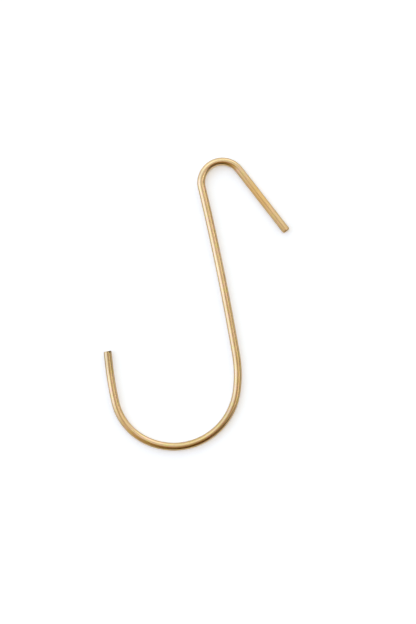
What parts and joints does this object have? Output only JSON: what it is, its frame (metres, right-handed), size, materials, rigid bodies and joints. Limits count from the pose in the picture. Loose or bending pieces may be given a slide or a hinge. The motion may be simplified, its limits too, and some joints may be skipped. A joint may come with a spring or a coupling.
{
  "type": "j-hook",
  "caption": "Hook bent from one length of round brass wire: a narrow rail bend, a long shank and a wide bowl facing the other way.",
  "frame": {"origin": "centre of the rail bend, half way through the wire", "axes": "+Y runs up the shank to the rail, +X to the side of the rail leg, +Z out of the plane of the bends. The hook lies flat, as it rests on a bench."},
  "size_m": [0.082, 0.1063, 0.003],
  "materials": {
    "brass": "satin"
  },
  "bodies": {
    "root": {"j_hook": "brass"}
  },
  "joints": []
}
